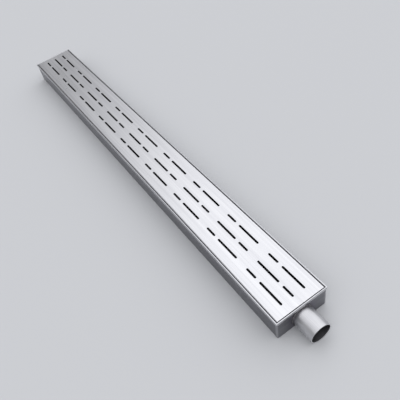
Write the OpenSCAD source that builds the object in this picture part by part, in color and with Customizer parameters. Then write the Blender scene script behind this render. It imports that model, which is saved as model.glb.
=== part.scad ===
// Linear drain: a shallow welded channel of stainless sheet with a hemmed rim, a round outlet
// stub at one end and a slotted, folded cover that drops in flush with the rim.
// +X points out of the outlet, +Z is up, and the origin is the middle of the channel's underside.

/* [Rim] */
// Length of the rim over its outer edges
rim_l = 1000; // [800:10:1500]
// Width of the rim over its outer edges
rim_w = 100; // [90:1:140]
// Height of the edge that is folded back down outside the walls
hem_h = 4.5; // [3:0.5:5]
// Air left between the folded edge and the wall
hem_gap = 0.4; // [0.2:0.1:1]
// Rounding of the rim's corners, seen from above
rim_corner_r = 3; // [1:0.5:3.5]

/* [Channel] */
// Height from the underside to the top of the rim
channel_h = 48; // [43:1:100]
// Thickness of the channel's sheet
sheet_t = 1.2; // [1:0.1:1.5]
// Inside radius of the two long folds at the floor
floor_fold_r = 1; // [0.5:0.1:3]
// Rounding of the ground weld seams at the four upright corners
seam_r = 1; // [0.5:0.1:1]

/* [Outlet] */
// Outside diameter of the outlet pipe
pipe_d = 38; // [30:1:42]
// Wall of the outlet pipe
pipe_wall = 1.2; // [1:0.1:2]
// Length of the outlet pipe beyond the end plate
pipe_l = 40; // [30:1:100]
// Height of the pipe's lowest line above the channel's underside
pipe_lift = 1; // [1:0.5:3]
// Leg of the weld bead round the root of the pipe
weld_leg = 1.5; // [1:0.1:2.5]

/* [Cover] */
// Thickness of the cover's sheet
cover_t = 1.5; // [1.2:0.1:2]
// Full height of the cover, down to the lower edges of its two long skirts
skirt_h = 12; // [8:1:16]
// Inside radius of the cover's two long folds
cover_fold_r = 0.8; // [0.5:0.1:2]
// Gap between the cover and each long side of the rim
side_gap = 1; // [0.8:0.1:1.5]
// Gap between the cover and each end of the rim
end_gap = 0.6; // [0.3:0.1:2]

/* [Slots] */
// Width of a slot
slot_w = 4; // [2:0.1:6]
// Length of a long slot over its round ends
long_slot = 51.5; // [30:0.5:60]
// Length of a short slot over its round ends
short_slot = 23.5; // [10:0.5:30]
// Metal left between the long and the short slot of one row
slot_web = 9; // [5:0.5:15]
// Plain band between one group of slots and the next
band_w = 25.6; // [20:0.1:40]
// Number of rows of slots
row_count = 3; // [1:1:3]
// Distance between two rows of slots
row_pitch = 22.5; // [15:0.5:26]
// Least metal between the first slot and the end of the cover
end_margin = 12; // [8:1:30]

/* [Supports] */
// Number of cross bridges that carry the cover
support_count = 4; // [2:1:6]
// Width of a bridge, along the channel
support_w = 16; // [10:1:20]
// Thickness of a bridge's strip
support_t = 1.5; // [1:0.1:1.6]
// Height of the tabs that are welded to the walls
tab_h = 12; // [8:1:20]
// Inside radius of a bridge's two folds
support_fold_r = 0.5; // [0.3:0.1:0.8]

/* [Hidden] */
$fn = 96;
supports = [for (i = [1 : support_count]) str("cover_support_", i)];

steel = [0.78, 0.78, 0.79];
steel_inside = [0.62, 0.62, 0.64];
weld_tone = [0.70, 0.69, 0.67];
cut = 1;  // how far a cutter runs past the metal

// The hem is a half round turn, so its inside radius is half of the air in it.
hem_r = hem_gap / 2;
hem_outer_r = hem_r + sheet_t;
lip_w = 2 * hem_outer_r;
hem_straight = hem_h - hem_outer_r;
floor_outer_r = floor_fold_r + sheet_t;

// Half sizes of the rim, the hollow and the outside of the walls, seen from above
rim_x = rim_l / 2;
rim_y = rim_w / 2;
hollow_x = rim_x - lip_w;
hollow_y = rim_y - lip_w;
wall_x = hollow_x + sheet_t;
wall_y = hollow_y + sheet_t;

pipe_r = pipe_d / 2;
bore_r = pipe_r - pipe_wall;
pipe_z = pipe_lift + pipe_r;
weld_root = pipe_wall / 2;  // how deep the weld has melted into the pipe's wall

cover_x = hollow_x - end_gap;
cover_y = hollow_y - side_gap;
seat_z = channel_h - skirt_h;

// A group is one long and one short slot in each row, and as many groups as fit are centred.
group_l = long_slot + slot_web + short_slot;
group_pitch = group_l + band_w;
group_count = 1 + floor((2 * (cover_x - end_margin) - group_l) / group_pitch);
pattern_l = (group_count - 1) * group_pitch + group_l;
band_count = group_count - 1;

// A wedge of a disc from the angle start through turn, larger than any fold
module wedge(start, turn, reach) {
    steps = 4;
    polygon(concat([[0, 0]], [for (k = [0 : steps]) let (a = start + turn * k / steps)
                              reach * [cos(a), sin(a)]]));
}

// One fold, as a ring sector about the origin: a left turn starts below it, a right turn above.
module fold_arc(turn, r, t) {
    intersection() {
        difference() {
            circle(r + t);
            circle(r);
        }
        wedge(turn > 0 ? -90 : 90, turn, 2 * (r + t));
    }
}

// The section of a folded sheet, drawn by walking along it with the metal on the left hand.
// A run is [straight length, turn at its end, inside radius of that turn].
module folded_section(runs, t, i = 0) {
    run = runs[i];
    square([run[0], t]);
    if (i < len(runs) - 1) {
        centre_y = run[1] > 0 ? t + run[2] : -run[2];
        translate([run[0], centre_y]) {
            fold_arc(run[1], run[2], t);
            rotate(run[1]) translate([0, -centre_y]) folded_section(runs, t, i + 1);
        }
    }
}

// A strip with both sides folded down, its top face at height zero
module bridge_section(half_w, h, r, t) {
    side = h - r - t;
    top = 2 * (half_w - r - t);
    translate([t - half_w, -h]) rotate(90)
        folded_section([[side, -90, r], [top, -90, r], [side, 0, 0]], t);
}

// Carries a section drawn in Y and Z along the drain, centred
module along_drain(l) {
    rotate([90, 0, 90]) linear_extrude(l, center = true) children();
}

module rounded_plan(l, w, r) {
    square([l - 2 * r, w], center = true);
    square([l, w - 2 * r], center = true);
    for (x = [-1, 1], y = [-1, 1]) translate([x * (l / 2 - r), y * (w / 2 - r)]) circle(r);
}

// The upright corners as they are after welding and grinding: walls below, rim above
module ground_corners() {
    linear_extrude(channel_h - hem_h) rounded_plan(2 * wall_x, 2 * wall_y, seam_r);
    translate([0, 0, channel_h - hem_h]) linear_extrude(hem_h)
        rounded_plan(rim_l, rim_w, rim_corner_r);
}

// Trough and end plates meet on mitres from the hollow's corners to the rim's corners.
module trough_plan() {
    polygon([[-hollow_x, -hollow_y], [-rim_x, -rim_y], [rim_x, -rim_y], [hollow_x, -hollow_y],
             [hollow_x, hollow_y], [rim_x, rim_y], [-rim_x, rim_y], [-hollow_x, hollow_y]]);
}

module end_plan() {
    polygon([[-hollow_x, -hollow_y], [-hollow_x, hollow_y], [-rim_x, rim_y], [-rim_x, -rim_y]]);
}

module trough_section() {
    wall = channel_h - hem_outer_r - floor_outer_r;
    floor_l = 2 * (wall_y - floor_outer_r);
    translate([sheet_t - rim_y, channel_h - hem_h]) rotate(90) folded_section([
        [hem_straight, -180, hem_r],
        [wall, 90, floor_fold_r],
        [floor_l, 90, floor_fold_r],
        [wall, -180, hem_r],
        [hem_straight, 0, 0]], sheet_t);
}

module end_section() {
    translate([sheet_t - rim_x, channel_h - hem_h]) rotate(90) folded_section([
        [hem_straight, -180, hem_r],
        [channel_h - hem_outer_r, 0, 0]], sheet_t);
}

// The filled outline of the trough's section, with its two rounded long folds
module trough_outline() {
    translate([-wall_y, floor_outer_r]) square([2 * wall_y, channel_h - floor_outer_r]);
    translate([floor_outer_r - wall_y, 0]) square([2 * (wall_y - floor_outer_r), channel_h]);
    for (y = [-1, 1]) translate([y * (wall_y - floor_outer_r), floor_outer_r])
        circle(floor_outer_r);
    translate([-rim_y, channel_h - hem_h]) square([rim_w, hem_h]);
}

module channel_trough() {
    color(steel) intersection() {
        along_drain(rim_l) trough_section();
        linear_extrude(channel_h) trough_plan();
        ground_corners();
    }
}

// The end plate at the closed end. The outlet end is its mirror image with a hole.
module end_plate() {
    intersection() {
        rotate([90, 0, 0]) linear_extrude(rim_w, center = true) end_section();
        linear_extrude(channel_h) end_plan();
        along_drain(rim_l) trough_outline();
        ground_corners();
    }
}

module closed_end_plate() {
    color(steel) end_plate();
}

// Turns upright shapes about the pipe's axis, from a place along the channel
module along_pipe(x) {
    translate([x, 0, pipe_z]) rotate([0, 90, 0]) children();
}

// The plate has the pipe's bore. On a shallow channel the hem is coped round the weld.
module outlet_end_plate() {
    color(steel) difference() {
        mirror([1, 0, 0]) end_plate();
        along_pipe(hollow_x - cut) cylinder(sheet_t + 2 * cut, r = bore_r);
        along_pipe(wall_x + hem_gap / 2) cylinder(rim_x - wall_x, r = pipe_r + weld_leg + hem_gap);
    }
}

// The pipe's root is bevelled where the weld has melted it.
module outlet_pipe() {
    color(steel) along_pipe(wall_x) rotate_extrude() polygon([
        [bore_r, 0], [pipe_r - weld_root, 0], [pipe_r, weld_leg], [pipe_r, pipe_l],
        [bore_r, pipe_l]]);
}

// A rounded fillet weld, ground flush where it would reach below the channel's underside
module outlet_weld() {
    color(weld_tone) intersection() {
        along_pipe(wall_x) rotate_extrude() {
            polygon([[pipe_r - weld_root, 0], [pipe_r, 0], [pipe_r, weld_leg]]);
            translate([pipe_r, 0]) intersection() {
                circle(weld_leg);
                square(weld_leg);
            }
        }
        translate([0, -rim_y, 0]) cube([rim_l, rim_w, channel_h]);
    }
}

module slot(l) {
    r = slot_w / 2;
    translate([r, -r]) square([l - slot_w, slot_w]);
    for (x = [r, l - r]) translate([x, 0]) circle(r);
}

// Rows take turns: the long slot leads in every second row.
module slot_pattern() {
    for (g = [0 : group_count - 1], row = [0 : row_count - 1]) {
        long_first = row % 2 == 1;
        x = g * group_pitch - pattern_l / 2;
        y = (row - (row_count - 1) / 2) * row_pitch;
        translate([x, y]) slot(long_first ? long_slot : short_slot);
        translate([x + slot_web + (long_first ? long_slot : short_slot), y])
            slot(long_first ? short_slot : long_slot);
    }
}

module cover_grate() {
    color(steel) difference() {
        translate([0, 0, channel_h]) along_drain(2 * cover_x)
            bridge_section(cover_y, skirt_h, cover_fold_r, cover_t);
        translate([0, 0, channel_h - cover_t - cut]) linear_extrude(cover_t + 2 * cut)
            slot_pattern();
    }
}

// Bridges stand under plain bands, spread evenly from the first band to the last.
module cover_support(i) {
    band = round(1 + (i - 1) * (band_count - 1) / (support_count - 1));
    color(steel_inside)
        translate([band * group_pitch - band_w / 2 - pattern_l / 2, 0, seat_z])
            along_drain(support_w) bridge_section(hollow_y, tab_h, support_fold_r, support_t);
}

channel_trough();
outlet_end_plate();
closed_end_plate();
outlet_pipe();
outlet_weld();
cover_grate();
for (i = [1 : support_count])
    cover_support(i);
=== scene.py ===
import math

import bmesh
import bpy
from mathutils import Euler, Matrix, Vector


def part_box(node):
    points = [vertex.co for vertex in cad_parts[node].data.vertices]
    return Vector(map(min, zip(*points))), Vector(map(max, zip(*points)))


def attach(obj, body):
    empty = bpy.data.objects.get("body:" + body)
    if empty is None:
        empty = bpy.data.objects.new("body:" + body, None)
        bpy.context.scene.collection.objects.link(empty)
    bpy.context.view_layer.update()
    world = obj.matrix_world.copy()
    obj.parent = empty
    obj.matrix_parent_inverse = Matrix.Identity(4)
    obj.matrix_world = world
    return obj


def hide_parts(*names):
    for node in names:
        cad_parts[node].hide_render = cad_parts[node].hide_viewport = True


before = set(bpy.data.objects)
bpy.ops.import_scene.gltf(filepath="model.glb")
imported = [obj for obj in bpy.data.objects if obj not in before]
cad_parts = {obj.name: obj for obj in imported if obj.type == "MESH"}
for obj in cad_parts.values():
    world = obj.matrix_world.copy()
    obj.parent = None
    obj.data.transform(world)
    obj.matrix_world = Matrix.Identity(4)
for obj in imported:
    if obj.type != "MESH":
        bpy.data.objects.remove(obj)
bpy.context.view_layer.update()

mm = 0.001
print("frame loaded,", len(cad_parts), "nodes of sheet, strip, tube and weld")


# camera, high over the outlet end and looking back along the channel
cameraSet = {
    "place": (0.7613, -0.24125, 0.69528),
    "turn": (41.812, 10.784, 56.855),   # degrees about x, y and z
    "lens": 42.93,
    "sensor": 36,
    "shift": 0.0487,
}


def placeCamera():
    data = bpy.data.cameras.new("camera")
    data.lens = cameraSet["lens"]
    data.sensor_width = cameraSet["sensor"]
    data.shift_x = cameraSet["shift"]
    data.clip_start = 0.02
    data.clip_end = 60
    camera = bpy.data.objects.new("camera", data)
    bpy.context.scene.collection.objects.link(camera)
    camera.location = cameraSet["place"]
    camera.rotation_euler = Euler([math.radians(angle) for angle in cameraSet["turn"]])
    bpy.context.scene.camera = camera
    bpy.context.scene.view_settings.view_transform = "Standard"


placeCamera()
print("camera set")


def linearColor(code):
    # sRGB hex to the linear values that shaders take
    values = [int(code[i:i + 2], 16) / 255 for i in (1, 3, 5)]
    return [v / 12.92 if v <= 0.04045 else ((v + 0.055) / 1.055) ** 2.4 for v in values] + [1]


def addNode(tree, kind, settings=None, links=None):
    # settings are node options or socket values, links are socket: output
    node = tree.nodes.new(kind)
    for name, value in (settings or {}).items():
        if isinstance(name, str) and hasattr(node, name):
            setattr(node, name, value)
        else:
            node.inputs[name].default_value = value
    for name, output in (links or {}).items():
        tree.links.new(output, node.inputs[name])
    return node


def newMaterial(name):
    material = bpy.data.materials.new(name)
    material.use_nodes = True
    material.node_tree.nodes.clear()
    return material


def dress(material, *nodeNames):
    for name in nodeNames:
        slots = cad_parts[name].data.materials
        slots.clear()
        slots.append(material)


def ranged(tree, value, low, high, toLow=0.0, toHigh=1.0, smooth=False):
    kind = "SMOOTHSTEP" if smooth else "LINEAR"
    return addNode(tree, "ShaderNodeMapRange", {
        "interpolation_type": kind, "From Min": low, "From Max": high,
        "To Min": toLow, "To Max": toHigh}, {"Value": value}).outputs[0]


def product(tree, shares):
    total = shares[0]
    for share in shares[1:]:
        total = addNode(tree, "ShaderNodeMath", {"operation": "MULTIPLY"},
                        {0: total, 1: share}).outputs[0]
    return total


def weighted(tree, base, added, weight):
    return addNode(tree, "ShaderNodeMath", {"operation": "MULTIPLY_ADD", 1: weight},
                   {0: added, 2: base}).outputs[0]


def within(tree, value, low, high, blur=0.05 * mm):
    # 1 between low and high, 0 outside
    offset = addNode(tree, "ShaderNodeMath", {"operation": "SUBTRACT", 1: (low + high) / 2},
                     {0: value}).outputs[0]
    distance = addNode(tree, "ShaderNodeMath", {"operation": "ABSOLUTE"}, {0: offset}).outputs[0]
    half = (high - low) / 2
    return ranged(tree, distance, half + blur, half - blur)


def grain(tree, place, size, detail=3.0):
    # noise whose features measure size along x, y and z
    stretched = addNode(tree, "ShaderNodeMapping", {"Scale": [1 / side for side in size]},
                        {"Vector": place}).outputs[0]
    return addNode(tree, "ShaderNodeTexNoise", {"Scale": 1.0, "Detail": detail},
                   {"Vector": stretched}).outputs[0]


def blended(tree, share, first, second):
    # first and second are hex colours or outputs
    settings = {"data_type": "RGBA"}
    links = {0: share}
    for socket, color in ((6, first), (7, second)):
        if isinstance(color, str):
            settings[socket] = linearColor(color)
        else:
            links[socket] = color
    return addNode(tree, "ShaderNodeMix", settings, links).outputs[2]


def mixed(tree, share, first, second):
    # first and second are numbers or outputs
    settings = {"data_type": "FLOAT"}
    links = {0: share}
    for socket, number in ((2, first), (3, second)):
        if isinstance(number, float):
            settings[socket] = number
        else:
            links[socket] = number
    return addNode(tree, "ShaderNodeMix", settings, links).outputs[0]


def places(tree):
    place = addNode(tree, "ShaderNodeTexCoord").outputs["Object"]
    axes = addNode(tree, "ShaderNodeSeparateXYZ", links={0: place}).outputs
    return place, axes["X"], axes["Y"], axes["Z"]


def steelSurface(tree, color, roughness, height, relief, anisotropy, spread):
    # spread is the way that the grain smears its highlights, square to its own run
    bump = addNode(tree, "ShaderNodeBump", {"Strength": 0.25, "Distance": relief},
                   {"Height": height}).outputs[0]
    tangent = addNode(tree, "ShaderNodeCombineXYZ", dict(zip("XYZ", spread))).outputs[0]
    steel = addNode(tree, "ShaderNodeBsdfPrincipled",
                    {"Metallic": 1.0, "Anisotropic": anisotropy},
                    {"Base Color": color, "Roughness": roughness, "Normal": bump,
                     "Tangent": tangent})
    addNode(tree, "ShaderNodeOutputMaterial", links={"Surface": steel.outputs[0]})


# stage: a pale floor under one wide, soft bank of light, which stands over the near end and
# reaches down on the right, before a pale grey backdrop
stageSet = {
    "floorColor": "#c6c7c9",
    "floorRadius": 14.0,
    "lightColor": "#fbfcff",
    "horizonRadiance": 0.6,
    "backdropRadiance": 0.4,
    "horizonFade": (0.0, 0.14),         # between these sines of the height above the horizon
    "bankRadiance": 1.45,
}
# each edge of the bank: its axis, and the two cosines between which the light comes up
bankEdges = {
    "far": ((0.911, 0.396, 0.112), -0.74, -0.3),
    "left": ((-0.152, 0.564, 0.812), -0.28, 0.08),
    "near": ((-0.857, 0, 0.515), -0.5, 0.1),
    "low": ((0, 0, 1), 0.0, 0.35),
}


def buildFloor():
    mesh = bpy.data.meshes.new("floor")
    bm = bmesh.new()
    bmesh.ops.create_circle(bm, cap_ends=True, radius=stageSet["floorRadius"], segments=96)
    bm.to_mesh(mesh)
    bm.free()
    floor = bpy.data.objects.new("floor", mesh)
    bpy.context.scene.collection.objects.link(floor)
    material = newMaterial("paintedStudioFloor")   # even, matt and pale
    paint = addNode(material.node_tree, "ShaderNodeBsdfPrincipled", {
        "Base Color": linearColor(stageSet["floorColor"]),
        "Roughness": 0.85,
        "Specular IOR Level": 0.2,
    })
    addNode(material.node_tree, "ShaderNodeOutputMaterial", links={"Surface": paint.outputs[0]})
    mesh.materials.append(material)


def buildStudioLight():
    world = bpy.data.worlds.new("studioWorld")
    bpy.context.scene.world = world
    world.use_nodes = True
    tree = world.node_tree
    ray = addNode(tree, "ShaderNodeTexCoord").outputs["Generated"]
    height = addNode(tree, "ShaderNodeSeparateXYZ", links={0: ray}).outputs["Z"]
    fades = []
    for axis, low, high in bankEdges.values():
        along = addNode(tree, "ShaderNodeVectorMath", {"operation": "DOT_PRODUCT", 1: axis},
                        {0: ray}).outputs["Value"]
        fades.append(ranged(tree, along, low, high, smooth=True))
    backdrop = ranged(tree, height, *stageSet["horizonFade"], stageSet["horizonRadiance"],
                      stageSet["backdropRadiance"], smooth=True)
    background = tree.nodes["Background"]
    background.inputs["Color"].default_value = linearColor(stageSet["lightColor"])
    tree.links.new(mixed(tree, product(tree, fades), backdrop, stageSet["bankRadiance"]),
                   background.inputs["Strength"])


buildFloor()
buildStudioLight()
print("stage ready")


# cover: stainless sheet, belt-brushed along its length to a number 4 finish. The eye gets fine
# long streaks, and a sheen that smears across them and cools towards the far end. The punched
# edges of the slots and the underside are bare and dull, and their colour is set far darker than
# bare steel as painted shade in the slots and under the cover
coverSet = {
    "lightSteel": "#dcdcde",
    "darkSteel": "#cdcdd0",
    # painted shade: a near black grey for the slot walls and the cover's underside
    "bareShadedSteel": "#4c4c4f",
    "roughness": (0.26, 0.34),
    "bareRoughness": 0.5,
    "scratch": (110 * mm, 0.9 * mm, 0.9 * mm),   # real ones are 0.1 mm wide, drawn wider to show
    "streak": (380 * mm, 5 * mm, 5 * mm),
    "smudge": (90 * mm, 40 * mm, 40 * mm),
    "brushedDepth": 0.25 * mm,
    "sheet": 1.5 * mm,
    "relief": 0.02 * mm,
    "anisotropy": 0.5,
}
coverLow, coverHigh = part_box("cover_grate")


def brushedCoverSteel():
    material = newMaterial("brushedCoverSteel")
    tree = material.node_tree
    place, x, y, z = places(tree)
    scratch = grain(tree, place, coverSet["scratch"])
    streak = grain(tree, place, coverSet["streak"])
    smudge = grain(tree, place, coverSet["smudge"])
    # mask of the slot walls and underside, which are bare and also painted dark as shade
    bareAndShaded = product(tree, [
        within(tree, y, coverLow.y + coverSet["sheet"], coverHigh.y - coverSet["sheet"]),
        within(tree, z, coverLow.z - mm, coverHigh.z - coverSet["brushedDepth"])])
    tone = ranged(tree, weighted(tree, streak, scratch, 0.5), 0.55, 0.95)
    brushed = blended(tree, tone, coverSet["darkSteel"], coverSet["lightSteel"])
    # painted shade in the slots and under the cover, over the bare dull steel
    color = blended(tree, bareAndShaded, brushed, coverSet["bareShadedSteel"])
    roughness = mixed(tree, bareAndShaded, ranged(tree, smudge, 0.3, 0.7, *coverSet["roughness"]),
                      coverSet["bareRoughness"])
    steelSurface(tree, color, roughness, scratch, coverSet["relief"], coverSet["anisotropy"],
                 (0, 1, 1))
    return material


dress(brushedCoverSteel(), "cover_grate")
print("cover brushed")


# channel: cold-rolled stainless with its dull, faintly mottled mill finish on the walls, whose
# grey is also darkened as painted shade on the sides, and much darker inside as painted shade in
# the channel. The hemmed rim is polished with a belt, and the upright weld seams are ground
channelSet = {
    # painted shade: the wall greys are set darker than bare steel so that the sides look shaded
    "lightShadedWall": "#88888d",
    "darkShadedWall": "#75757a",
    "wallRoughness": (0.33, 0.44),
    # painted shade: a near black grey for the inside of the channel and the end plates' inner
    # faces
    "insideSteel": "#4a4a4d",
    "insideRoughness": 0.5,
    "lightRim": "#cfcfd2",
    "darkRim": "#b9b9bd",
    "rimRoughness": (0.16, 0.24),
    "groundSeam": "#a3a3a7",
    "sheet": 1.2 * mm,
    "rimWidth": 2.8 * mm,
    "rimHeight": 4.5 * mm,
    "crestHeight": 1.4 * mm,            # of the half round turn on top of the rim
    "seamWidth": 2.2 * mm,
    "mottle": (26 * mm, 26 * mm, 9 * mm),
    "rollMark": (240 * mm, 2.2 * mm, 2.2 * mm),
    "scratch": (60 * mm, 0.8 * mm, 0.8 * mm),
    "relief": 0.02 * mm,
}
rimLow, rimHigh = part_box("channel_trough")


def rolledSheet(tree, grainAxis):
    # shared by trough and end plates, whose sheet was rolled along x or along y
    place, x, y, z = places(tree)

    def rolled(size):
        return size if grainAxis == "X" else (size[1], size[0], size[2])

    mottle = grain(tree, place, rolled(channelSet["mottle"]))
    mark = grain(tree, place, rolled(channelSet["rollMark"]))
    scratch = grain(tree, place, rolled(channelSet["scratch"]))
    middle = channelSet["rimWidth"] - channelSet["sheet"] / 2
    # mask for the painted shade inside the channel
    inside = product(tree, [
        within(tree, x, rimLow.x + middle, rimHigh.x - middle),
        within(tree, y, rimLow.y + middle, rimHigh.y - middle),
        within(tree, z, channelSet["sheet"] / 2, rimHigh.z - channelSet["crestHeight"])])
    rim = ranged(tree, z, rimHigh.z - channelSet["rimHeight"] - 0.1 * mm,
                 rimHigh.z - channelSet["rimHeight"])
    along, half = (x, rimHigh.x) if grainAxis == "X" else (y, rimHigh.y)
    wallEnd = half - channelSet["rimWidth"] + channelSet["sheet"]
    unseamed = within(tree, weighted(tree, along, mottle, mm), channelSet["seamWidth"] - wallEnd,
                      wallEnd - channelSet["seamWidth"], 0.5 * mm)
    return {"place": place, "mottle": mottle, "mark": mark, "scratch": scratch,
            "inside": inside, "rim": rim, "unseamed": unseamed}


def finishSheet(tree, parts, shadedWallColor, spread):
    seamed = blended(tree, parts["unseamed"], channelSet["groundSeam"], shadedWallColor)
    rimColor = blended(tree, ranged(tree, parts["scratch"], 0.3, 0.7), channelSet["darkRim"],
                       channelSet["lightRim"])
    color = blended(tree, parts["rim"], seamed, rimColor)
    # painted shade inside the channel
    color = blended(tree, parts["inside"], color, channelSet["insideSteel"])
    wallRough = ranged(tree, parts["mottle"], 0.3, 0.7, *channelSet["wallRoughness"])
    rimRough = ranged(tree, parts["scratch"], 0.3, 0.7, *channelSet["rimRoughness"])
    roughness = mixed(tree, parts["rim"], wallRough, rimRough)
    roughness = mixed(tree, parts["inside"], roughness, channelSet["insideRoughness"])
    steelSurface(tree, color, roughness, parts["scratch"], channelSet["relief"], 0.3, spread)


# the walls' mottled grey, darkened as painted shade on the sides
def shadedRolledWall(tree, parts):
    tone = ranged(tree, weighted(tree, parts["mottle"], parts["mark"], 0.8), 0.65, 1.15)
    return blended(tree, tone, channelSet["darkShadedWall"], channelSet["lightShadedWall"])


def rolledTroughSteel():
    material = newMaterial("rolledTroughSteel")
    tree = material.node_tree
    parts = rolledSheet(tree, "X")
    finishSheet(tree, parts, shadedRolledWall(tree, parts), (0, 1, 1))
    return material


def rolledPlateSteel():
    material = newMaterial("rolledPlateSteel")
    tree = material.node_tree
    parts = rolledSheet(tree, "Y")
    finishSheet(tree, parts, shadedRolledWall(tree, parts), (1, 0, 1))
    return material


# outlet end plate: the same sheet, with a grey and violet heat tint round the weld, darkened
# also as painted shade at the pipe's root
plateSet = {
    # heat tint and painted shade round the pipe's root
    "heatTintAndShadeSteel": "#5b5862",
    "violetTintAndShadeSteel": "#77737f",
    "tintAndShadeReach": (20.5 * mm, 25 * mm, 34 * mm),  # from the outlet's axis
}
pipeLow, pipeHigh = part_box("outlet_pipe")
pipeAxisHeight = (pipeLow.z + pipeHigh.z) / 2
pipeRadius = (pipeHigh.z - pipeLow.z) / 2


def pipeDistance(tree, place):
    # how far a point is from the outlet's axis
    flat = addNode(tree, "ShaderNodeMapping", {
        "Location": (0, 0, -pipeAxisHeight), "Scale": (0, 1, 1)}, {"Vector": place}).outputs[0]
    return addNode(tree, "ShaderNodeVectorMath", {"operation": "LENGTH"},
                   {0: flat}).outputs["Value"]


def weldedPlateSteel():
    material = newMaterial("weldedPlateSteel")
    tree = material.node_tree
    parts = rolledSheet(tree, "Y")
    near, middle, far = plateSet["tintAndShadeReach"]
    distance = weighted(tree, pipeDistance(tree, parts["place"]), parts["mottle"], 3 * mm)
    # heat tint with painted shade, darkest next to the pipe
    violetTintAndShade = ranged(tree, distance, far, middle, 0.0, 0.6, smooth=True)
    heatTintAndShade = ranged(tree, distance, middle, near, 0.0, 0.8, smooth=True)
    color = blended(tree, violetTintAndShade, shadedRolledWall(tree, parts), plateSet["violetTintAndShadeSteel"])
    color = blended(tree, heatTintAndShade, color, plateSet["heatTintAndShadeSteel"])
    finishSheet(tree, parts, color, (1, 0, 1))
    return material


dress(rolledTroughSteel(), "channel_trough")
dress(rolledPlateSteel(), "closed_end_plate")
dress(weldedPlateSteel(), "outlet_end_plate")
print("channel and end plates finished")


# outlet: drawn stainless tube, satin outside with lengthwise draw lines and a darker root, heat
# tint and painted shade where it meets the plate, dull and scaled inside, and with a bright sawn
# end, partly bare metal and partly a painted highlight
tubeSet = {
    "lightTube": "#cdcdcf",
    "darkTube": "#bbbbbe",
    # heat tint and painted shade at the pipe's root
    "heatTintAndShadeTube": "#77757b",
    "insideSteel": "#77777a",
    # bare sawn metal, set lighter also as a painted highlight on the end ring
    "sawnEndHighlight": "#e4e4e6",
    "roughness": (0.32, 0.40),
    "insideRoughness": 0.45,
    "drawLine": (120 * mm, 1.4 * mm, 1.4 * mm),
    "cloud": (30 * mm, 9 * mm, 9 * mm),
    "wall": 1.2 * mm,
    "tintAndShadeReach": 9 * mm,
    "relief": 0.02 * mm,
}


def drawnTubeSteel():
    material = newMaterial("drawnTubeSteel")
    tree = material.node_tree
    place, x, y, z = places(tree)
    line = grain(tree, place, tubeSet["drawLine"])
    cloud = grain(tree, place, tubeSet["cloud"])
    middle = pipeRadius - tubeSet["wall"] / 2
    inside = ranged(tree, pipeDistance(tree, place), middle + 0.1 * mm, middle - 0.1 * mm)
    # mask of the end ring, bare metal with a painted highlight
    sawnHighlight = ranged(tree, x, pipeHigh.x - 0.04 * mm, pipeHigh.x - 0.02 * mm)
    # heat tint and painted shade, fading out from the plate
    heatTintAndShade = ranged(tree, weighted(tree, x, cloud, 3 * mm), pipeLow.x + tubeSet["tintAndShadeReach"],
                    pipeLow.x + 2 * mm, 0.0, 0.8, smooth=True)
    tone = ranged(tree, weighted(tree, cloud, line, 0.8), 0.65, 1.15)
    color = blended(tree, tone, tubeSet["darkTube"], tubeSet["lightTube"])
    color = blended(tree, heatTintAndShade, color, tubeSet["heatTintAndShadeTube"])
    color = blended(tree, inside, color, tubeSet["insideSteel"])
    color = blended(tree, sawnHighlight, color, tubeSet["sawnEndHighlight"])
    roughness = mixed(tree, inside, ranged(tree, cloud, 0.3, 0.7, *tubeSet["roughness"]),
                      tubeSet["insideRoughness"])
    steelSurface(tree, color, roughness, line, tubeSet["relief"], 0.0, (0, 1, 1))
    return material


dress(drawnTubeSteel(), "outlet_pipe")
print("outlet pipe finished")


# bridges under the cover: sheared strip with a plain mill finish, its grey darkened as painted
# shade under the cover
bridgeSet = {
    # painted shade: strip greys set darker than bare steel for the shade under the cover
    "lightShadedStrip": "#77777b",
    "darkShadedStrip": "#646468",
    "roughness": (0.38, 0.48),
    "rollMark": (3 * mm, 90 * mm, 3 * mm),
    "mottle": (14 * mm, 14 * mm, 14 * mm),
    "relief": 0.02 * mm,
}


def shearedStripSteel():
    material = newMaterial("shearedStripSteel")
    tree = material.node_tree
    place, x, y, z = places(tree)
    mark = grain(tree, place, bridgeSet["rollMark"])
    mottle = grain(tree, place, bridgeSet["mottle"])
    tone = ranged(tree, weighted(tree, mottle, mark, 0.8), 0.65, 1.15)
    color = blended(tree, tone, bridgeSet["darkShadedStrip"], bridgeSet["lightShadedStrip"])
    steelSurface(tree, color, ranged(tree, mottle, 0.3, 0.7, *bridgeSet["roughness"]), mark,
                 bridgeSet["relief"], 0.2, (1, 0, 1))
    return material


dress(shearedStripSteel(), *[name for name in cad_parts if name.startswith("cover_support")])
print("bridges finished")


# weld round the outlet: a convex bead laid in overlapping puddles, brushed grey, its grey
# darkened as painted shade at the pipe's root
weldSet = {
    "leg": 1.5 * mm,
    "root": 0.4 * mm,          # how far the bead's hidden part reaches into plate and pipe
    "ripplePitch": 1.5 * mm,
    "rippleDepth": 0.07,       # share of the leg
    "rippleSweep": 0.9,        # how far a puddle's rim trails behind its middle, in pitches
    # painted shade: bead greys set dark so the bead reads as shade at the pipe's root
    "lightShadedBead": "#8d8b8c",
    "darkShadedBead": "#5e5c61",
    "roughness": (0.35, 0.48),
    "oxide": (2.5 * mm, 2.5 * mm, 2.5 * mm),
}


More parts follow.
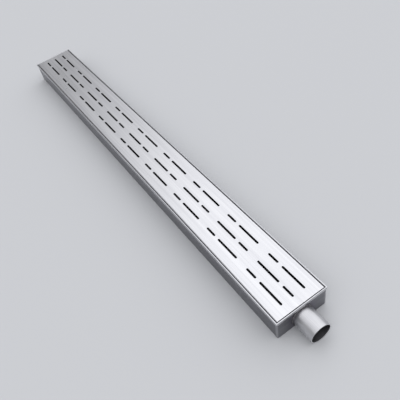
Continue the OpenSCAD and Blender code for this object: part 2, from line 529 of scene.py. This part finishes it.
def buildWeldBead():
    leg = weldSet["leg"]
    root = weldSet["root"]
    axis = Vector((pipeLow.x, 0, pipeAxisHeight))
    mesh = bpy.data.meshes.new("outlet_weld_bead")
    bm = bmesh.new()
    # the bead's section is a disc about the corner of plate and pipe, cut back to its fillet
    bmesh.ops.create_circle(bm, cap_ends=True, radius=leg, segments=32)
    bmesh.ops.rotate(bm, matrix=Matrix.Rotation(math.radians(90), 3, "X"), verts=bm.verts[:])
    for side in (Vector((1, 0, 0)), Vector((0, 0, 1))):
        geometry = bm.verts[:] + bm.edges[:] + bm.faces[:]
        bmesh.ops.bisect_plane(bm, geom=geometry, plane_co=-root * side, plane_no=side,
                               clear_inner=True)
    bmesh.ops.translate(bm, vec=axis + Vector((0, 0, pipeRadius)), verts=bm.verts[:])
    bmesh.ops.delete(bm, geom=bm.faces[:], context="FACES_ONLY")
    pitches = round(2 * math.pi * (pipeRadius + leg / 2) / weldSet["ripplePitch"])
    bmesh.ops.spin(bm, geom=bm.verts[:] + bm.edges[:], cent=axis, axis=(1, 0, 0),
                   angle=2 * math.pi, steps=pitches * 8, use_merge=True)
    # each puddle is full at its front and falls away behind, with a crescent edge
    for vert in bm.verts:
        arm = vert.co - axis
        outward = Vector((0, arm.y, arm.z)).normalized()
        center = axis + outward * pipeRadius
        reach = vert.co - center
        turn = math.atan2(arm.y, arm.z) / (2 * math.pi) * pitches
        slope = math.atan2(reach.dot(outward), reach.x) / (math.pi / 4) - 1
        phase = (turn + weldSet["rippleSweep"] * slope * slope) % 1
        vert.co = center + reach * (1 - weldSet["rippleDepth"] * phase * phase)
    # ground flush with the channel's underside
    geometry = bm.verts[:] + bm.edges[:] + bm.faces[:]
    cut = bmesh.ops.bisect_plane(bm, geom=geometry, plane_co=(0, 0, 0), plane_no=(0, 0, 1),
                                 clear_inner=True)
    edges = [item for item in cut["geom_cut"] if isinstance(item, bmesh.types.BMEdge)]
    bmesh.ops.triangle_fill(bm, use_beauty=True, edges=edges)
    bmesh.ops.remove_doubles(bm, verts=bm.verts[:], dist=0.001 * mm)
    bmesh.ops.recalc_face_normals(bm, faces=bm.faces[:])
    for face in bm.faces:
        face.smooth = True
    bm.to_mesh(mesh)
    bm.free()
    bead = bpy.data.objects.new("outlet_weld_bead", mesh)
    bpy.context.scene.collection.objects.link(bead)
    return bead


def brushedWeldSteel():
    material = newMaterial("brushedWeldSteel")
    tree = material.node_tree
    place, x, y, z = places(tree)
    oxide = grain(tree, place, weldSet["oxide"])
    color = blended(tree, ranged(tree, oxide, 0.35, 0.65), weldSet["darkShadedBead"],
                    weldSet["lightShadedBead"])
    steelSurface(tree, color, ranged(tree, oxide, 0.3, 0.7, *weldSet["roughness"]), oxide,
                 0.03 * mm, 0.0, (1, 0, 0))
    return material


weldBead = buildWeldBead()
weldBead.data.materials.append(brushedWeldSteel())
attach(weldBead, "root")
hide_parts("outlet_weld")
print("weld bead laid")
